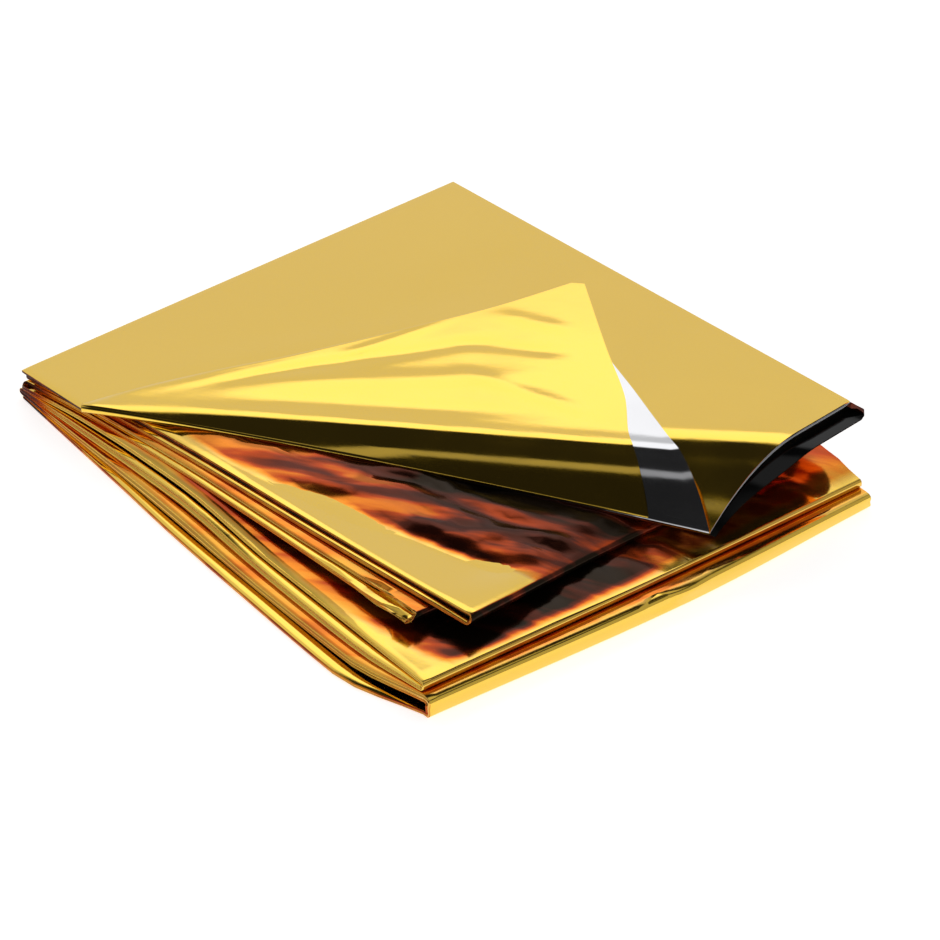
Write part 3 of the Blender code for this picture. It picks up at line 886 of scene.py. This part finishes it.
def gold_film():
    """Gold outside, with painted reflection and painted shade: deeper in the folds its colour is painted
    red, standing in for many reflections, and then painted dark.
    """
    material, tree, shader, place, satin, depth = film_base("gold_film")
    streaks = ramp_between(tree, add_noise(tree, place, **GLOW_STREAKS), *STREAK_SHARE)
    colour = add_colours(tree, add_math(tree, "MULTIPLY", depth, streaks), GOLD_WITH_PAINTED_GLOW_AND_SHADE)
    clouds = ramp_between(tree, add_noise(tree, place, **GOLD_CLOUDS), *CLOUD_SHARE)
    colour = add_mix(tree, clouds, colour, GOLD_TINT, "MULTIPLY")
    tree.links.new(colour, shader.inputs["Base Color"])
    roughness = add_math(tree, "MULTIPLY_ADD", depth, DEEP_ROUGHNESS, satin)
    tree.links.new(roughness, shader.inputs["Roughness"])
    return material


def silver_film():
    """Silver inside, with faint clouds, and painted shade where it lies in the folds."""
    material, tree, shader, place, satin, depth = film_base("silver_film")
    colour = add_colours(tree, add_noise(tree, place, **SILVER_CLOUDS), SILVER_STOPS)
    colour = add_mix(tree, depth, colour, SILVER_PAINTED_SHADE)
    tree.links.new(colour, shader.inputs["Base Color"])
    tree.links.new(satin, shader.inputs["Roughness"])
    return material


def make_camera():
    """The photo's camera."""
    data = bpy.data.cameras.new("photo_camera")
    data.sensor_width = SENSOR
    data.lens = SENSOR * FOCAL_PIXELS / FRAME_PIXELS
    camera = bpy.data.objects.new("photo_camera", data)
    back = direction(CAMERA_AZIMUTH, CAMERA_ELEVATION)
    camera.location = Vector(CAMERA_AIM) + back * CAMERA_DISTANCE
    camera.rotation_mode = "QUATERNION"
    camera.rotation_quaternion = (-back).to_track_quat("-Z", "Y")
    bpy.context.scene.collection.objects.link(camera)
    bpy.context.scene.camera = camera


def add_light(tree, place, light, level):
    """Blend a round patch of light into the level of the world."""
    dot = tree.nodes.new("ShaderNodeVectorMath")
    dot.operation = "DOT_PRODUCT"
    dot.inputs[1].default_value = direction(light["azimuth"], light["elevation"])
    tree.links.new(place, dot.inputs[0])
    ends = [math.cos(math.radians(light[key])) for key in ("end", "full")]
    return ramp_between(tree, dot.outputs["Value"], *ends, level, light["level"])


def make_world():
    """The studio round the object."""
    world = bpy.data.worlds.new("studio")
    bpy.context.scene.world = world
    world.use_nodes = True
    tree = world.node_tree
    place = tree.nodes.new("ShaderNodeTexCoord").outputs["Generated"]
    split = tree.nodes.new("ShaderNodeSeparateXYZ")
    tree.links.new(place, split.inputs["Vector"])
    level = WALL
    for light in WALL_LIGHTS:
        level = add_light(tree, place, light, level)
    rise = [math.sin(math.radians(angle)) for angle in CEILING_FROM]
    level = ramp_between(tree, split.outputs["Z"], *rise, level, CEILING)
    for light in CEILING_LIGHTS:
        level = add_light(tree, place, light, level)
    background = tree.nodes["Background"]
    tree.links.new(level, background.inputs["Strength"])
    background.inputs["Color"].default_value = (1.0, 1.0, 1.0, 1.0)


def make_floor():
    """A pale floor, which glows so that it stays white round the object."""
    half = FLOOR_SIZE / 2
    corners = [(x * half, y * half, 0.0) for x, y in ((-1, -1), (1, -1), (1, 1), (-1, 1))]
    data = bpy.data.meshes.new("floor")
    data.from_pydata(corners, [], [(0, 1, 2, 3)])
    material = bpy.data.materials.new("floor")
    material.use_nodes = True
    shader = material.node_tree.nodes["Principled BSDF"]
    shader.inputs["Base Color"].default_value = (FLOOR_COLOUR, FLOOR_COLOUR, FLOOR_COLOUR, 1.0)
    shader.inputs["Roughness"].default_value = FLOOR_ROUGHNESS
    shader.inputs["Emission Color"].default_value = (1.0, 1.0, 1.0, 1.0)
    shader.inputs["Emission Strength"].default_value = FLOOR_GLOW
    data.materials.append(material)
    floor = bpy.data.objects.new("floor", data)
    bpy.context.scene.collection.objects.link(floor)


def main():
    """Put the film in place of the solid, on its floor and before the photo's camera."""
    bpy.context.scene.view_settings.view_transform = "Standard"
    data = film_mesh("foil_sheet")
    data.materials.append(gold_film())
    data.materials.append(silver_film())
    sheet = bpy.data.objects.new("foil_sheet", data)
    bpy.context.scene.collection.objects.link(sheet)
    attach(sheet, "root")
    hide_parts("foil_blanket")
    make_floor()
    make_world()
    make_camera()


main()
